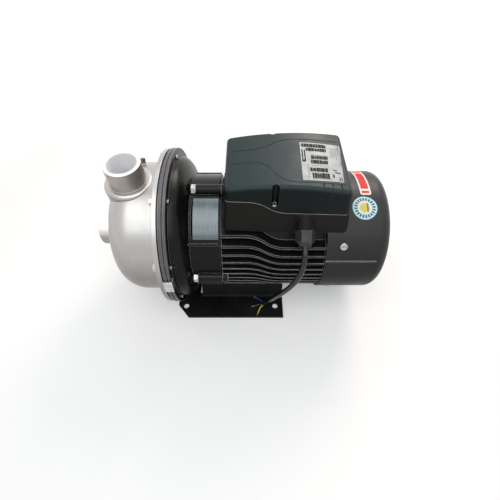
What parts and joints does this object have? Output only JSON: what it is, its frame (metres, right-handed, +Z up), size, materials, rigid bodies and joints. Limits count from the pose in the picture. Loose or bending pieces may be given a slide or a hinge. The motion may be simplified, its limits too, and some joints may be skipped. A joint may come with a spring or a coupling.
{
  "type": "centrifugal pump",
  "caption": "Close-coupled end-suction centrifugal pump: pressed stainless casing, lantern bracket, finned motor with terminal box, fan cover and foot.",
  "frame": {"origin": "centre of the foot's four floor holes, on the floor", "axes": "+X along the shaft from the suction port towards the fan cover, +Z up along the discharge port, +Y to the side away from the cable gland"},
  "size_m": [0.4362, 0.2492, 0.2777],
  "materials": {
    "stainless_casing": "satin blasted stainless sheet",
    "stainless_socket": "satin machined stainless",
    "stainless_plate": "pressed stainless",
    "plug_steel": "dull steel",
    "gasket_rubber": "matte",
    "seam_rubber": "matte, a light line in the joint",
    "ceramic": "ground ceramic",
    "seal_black": "carbon and rubber",
    "diffuser_plastic": "light glass-filled moulding",
    "brass_ring": "turned",
    "zinc_fastener": "bright zinc plate",
    "zinc_clip": "bright plate",
    "black_casting": "satin black paint on a casting",
    "polished_guard": "bright rolled stainless sheet",
    "black_housing": "satin black paint on aluminium",
    "lamination": "stacked sheet",
    "copper_winding": "varnished enamelled wire",
    "shaft_steel": "ground",
    "bearing_steel": "polished",
    "fan_cover_black": "smooth satin black",
    "fan_plastic": "moulded",
    "box_plastic": "fine-grained moulding",
    "box_cover_plastic": "fine-grained moulding with a soft shine",
    "capacitor_can": "white can",
    "block_plastic": "moulded",
    "gland_plastic": "polyamide",
    "cord_sheath": "rubber sheath",
    "wire_blue": "insulation",
    "wire_brown": "insulation",
    "wire_earth": "green and yellow insulation",
    "foot_paint": "satin black paint on pressed sheet"
  },
  "bodies": {
    "housing": {"pump_casing": "stainless_casing", "suction_socket": "stainless_socket", "discharge_socket": "stainless_socket", "priming_plug": "plug_steel", "drain_plug": "plug_steel", "casing_gasket": "gasket_rubber", "seal_plate": "stainless_plate", "seal_seat": "ceramic", "diffuser": "diffuser_plastic", "wear_ring": "brass_ring", "flange_bolts": "zinc_fastener", "flange_clip": "zinc_clip", "motor_bracket": "black_casting", "front_shaft_guard": "polished_guard", "rear_shaft_guard": "polished_guard", "bracket_bolts": "zinc_fastener", "stator_housing": "black_housing", "stator_core": "lamination", "stator_winding": "copper_winding", "front_bearing_outer": "bearing_steel", "rear_bearing_outer": "bearing_steel", "rear_endshield": "black_casting", "endshield_screws": "zinc_fastener", "fan_cover": "fan_cover_black", "fan_cover_screws": "zinc_fastener", "terminal_box_base": "box_plastic", "terminal_box_cover": "box_cover_plastic", "terminal_box_gasket": "seam_rubber", "terminal_box_screws": "zinc_fastener", "capacitor": "capacitor_can", "terminal_block": "block_plastic", "gland_body": "gland_plastic", "gland_nut": "gland_plastic", "gland_seal": "gasket_rubber", "power_cord": "cord_sheath", "conductor_blue": "wire_blue", "conductor_brown": "wire_brown", "conductor_earth": "wire_earth", "motor_foot": "foot_paint", "foot_screws": "zinc_fastener"},
    "rotor": {"shaft": "shaft_steel", "rotor_core": "lamination", "impeller": "stainless_plate", "impeller_nut": "zinc_fastener", "seal_head": "seal_black", "front_bearing_inner": "bearing_steel", "rear_bearing_inner": "bearing_steel", "water_slinger": "gasket_rubber", "cooling_fan": "fan_plastic", "fan_circlip": "shaft_steel", "impeller_key": "shaft_steel"}
  },
  "joints": [
    {"name": "shaft_spin", "type": "hinge", "parent": "housing", "child": "rotor", "pos_m": [0, 0, 0.128], "axis": [1, 0, 0], "continuous": true}
  ]
}
